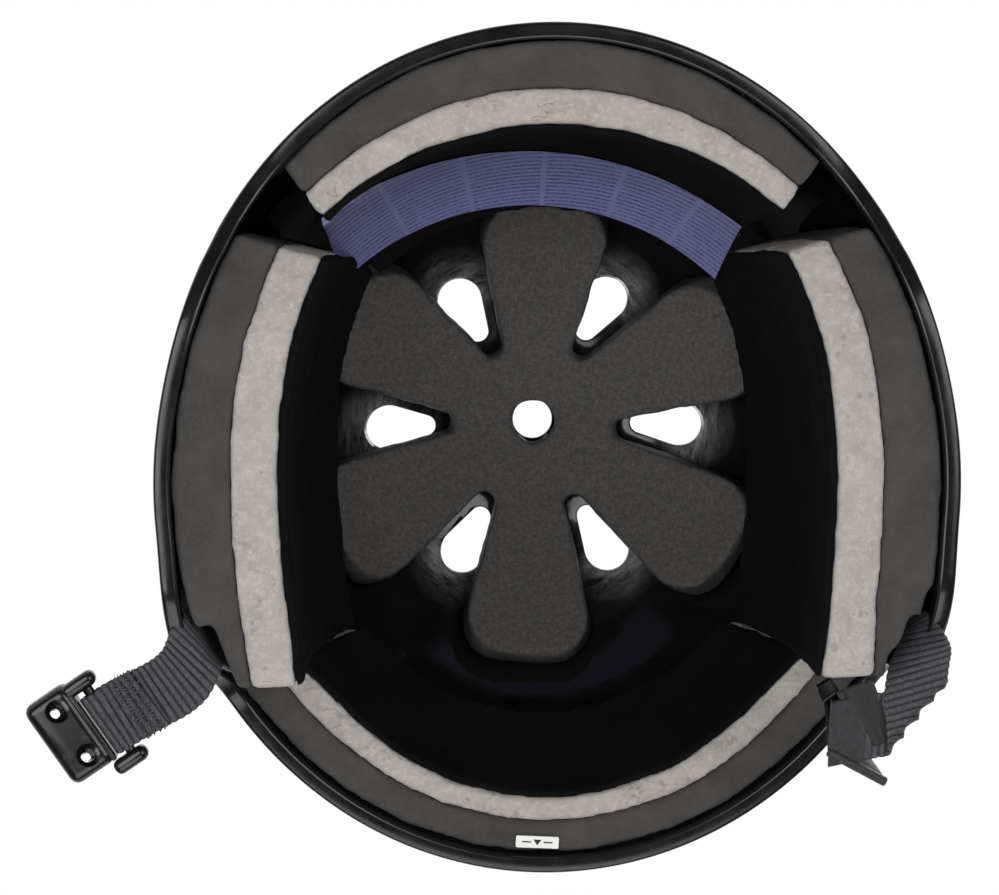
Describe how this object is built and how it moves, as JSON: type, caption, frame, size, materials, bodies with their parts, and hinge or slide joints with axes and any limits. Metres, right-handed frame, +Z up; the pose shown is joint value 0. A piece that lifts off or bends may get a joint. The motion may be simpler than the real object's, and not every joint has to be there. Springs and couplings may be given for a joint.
{
  "type": "skateboard helmet",
  "caption": "Hard-shell full-cut skate and water helmet with vents, rim trim, layered foam pads and a buckled webbing chin strap.",
  "frame": {"origin": "on the floor that the ear-lobe rims stand on, under the middle of the head opening", "axes": "+Z up through the crown, -Y to the wearer's front, +X to the wearer's left"},
  "size_m": [0.2749, 0.2689, 0.1719],
  "materials": {
    "shell": "gloss black moulded ABS with scuffed vent edges",
    "trim": "black extruded soft PVC edge trim",
    "crown_foam": "dark grey-brown closed-cell foam, mottled skin",
    "dark_foam": "dark grey closed-cell EVA foam, cut",
    "light_foam": "pale warm grey crackled foam, cut",
    "lining": "matt black brushed lining",
    "hook_tape": "black hook tape",
    "loop_tape": "black loop tape",
    "label": "blank blue-violet film with fine ruled lines",
    "tag": "white woven tag with a plain arrow",
    "webbing": "black ribbed polypropylene webbing",
    "thread": "black polyester thread",
    "buckle": "gloss black acetal",
    "rivet": "black lacquered rivet",
    "spacer": "black nylon sleeve",
    "washer": "plated steel washer"
  },
  "bodies": {
    "shell_body": {"shell": "shell", "rim_trim": "trim", "crown_pad": "crown_foam", "pad_hook_discs": "hook_tape", "pad_loop_discs": "loop_tape", "label_strip": "label", "front_tag": "tag", "left_strap_anchor": "webbing", "right_strap_anchor": "webbing", "strap_rivets": "rivet", "rivet_spacers": "spacer", "rivet_washers": "washer", "rear_pad_outer": "dark_foam", "rear_pad_middle": "light_foam", "rear_pad_lining": "lining", "brow_pad_outer": "dark_foam", "brow_pad_middle": "light_foam", "brow_pad_lining": "lining", "left_pad_outer": "dark_foam", "left_pad_middle": "light_foam", "left_pad_lining": "lining", "right_pad_outer": "dark_foam", "right_pad_middle": "light_foam", "right_pad_lining": "lining"},
    "left_strap_body": {"left_strap": "webbing", "left_strap_stitching": "thread"},
    "female_buckle_body": {"female_buckle": "buckle"},
    "right_strap_body": {"right_strap": "webbing"},
    "male_buckle_body": {"male_buckle_body": "buckle"},
    "prong_rear_body": {"male_prong_rear": "buckle"},
    "prong_front_body": {"male_prong_front": "buckle"}
  },
  "joints": [
    {"name": "left_strap_swing", "type": "hinge", "parent": "shell_body", "child": "left_strap_body", "pos_m": [0.10264, -0.056, 0.00105], "axis": [0.4695, 0.8829, 0], "range_deg": [0, 130]},
    {"name": "left_buckle_tilt", "type": "hinge", "parent": "left_strap_body", "child": "female_buckle_body", "pos_m": [0.13442, -0.0729, 0.0037], "axis": [0.4695, 0.8829, 0], "range_deg": [-75, 75]},
    {"name": "right_strap_swing", "type": "hinge", "parent": "shell_body", "child": "right_strap_body", "pos_m": [-0.10264, -0.056, 0.00105], "axis": [0.3713, -0.9285, 0], "range_deg": [0, 110]},
    {"name": "right_buckle_tilt", "type": "hinge", "parent": "right_strap_body", "child": "male_buckle_body", "pos_m": [-0.08932, -0.08009, 0.016], "axis": [0.6004, 0.7997, 0], "range_deg": [0, 100]},
    {"name": "prong_rear_flex", "type": "hinge", "parent": "male_buckle_body", "child": "prong_rear_body", "pos_m": [-0.08487, -0.07268, 0.02877], "axis": [0.7977, -0.599, 0.0698], "range_deg": [0, 7], "stiffness_Nm_per_rad": 0.2},
    {"name": "prong_front_flex", "type": "hinge", "parent": "male_buckle_body", "child": "prong_front_body", "pos_m": [-0.0952, -0.08643, 0.02877], "axis": [-0.7977, 0.599, -0.0698], "range_deg": [0, 7], "stiffness_Nm_per_rad": 0.2}
  ],
  "couplings": [
    {"joint": "prong_front_flex", "follows": "prong_rear_flex", "ratio": 1}
  ]
}
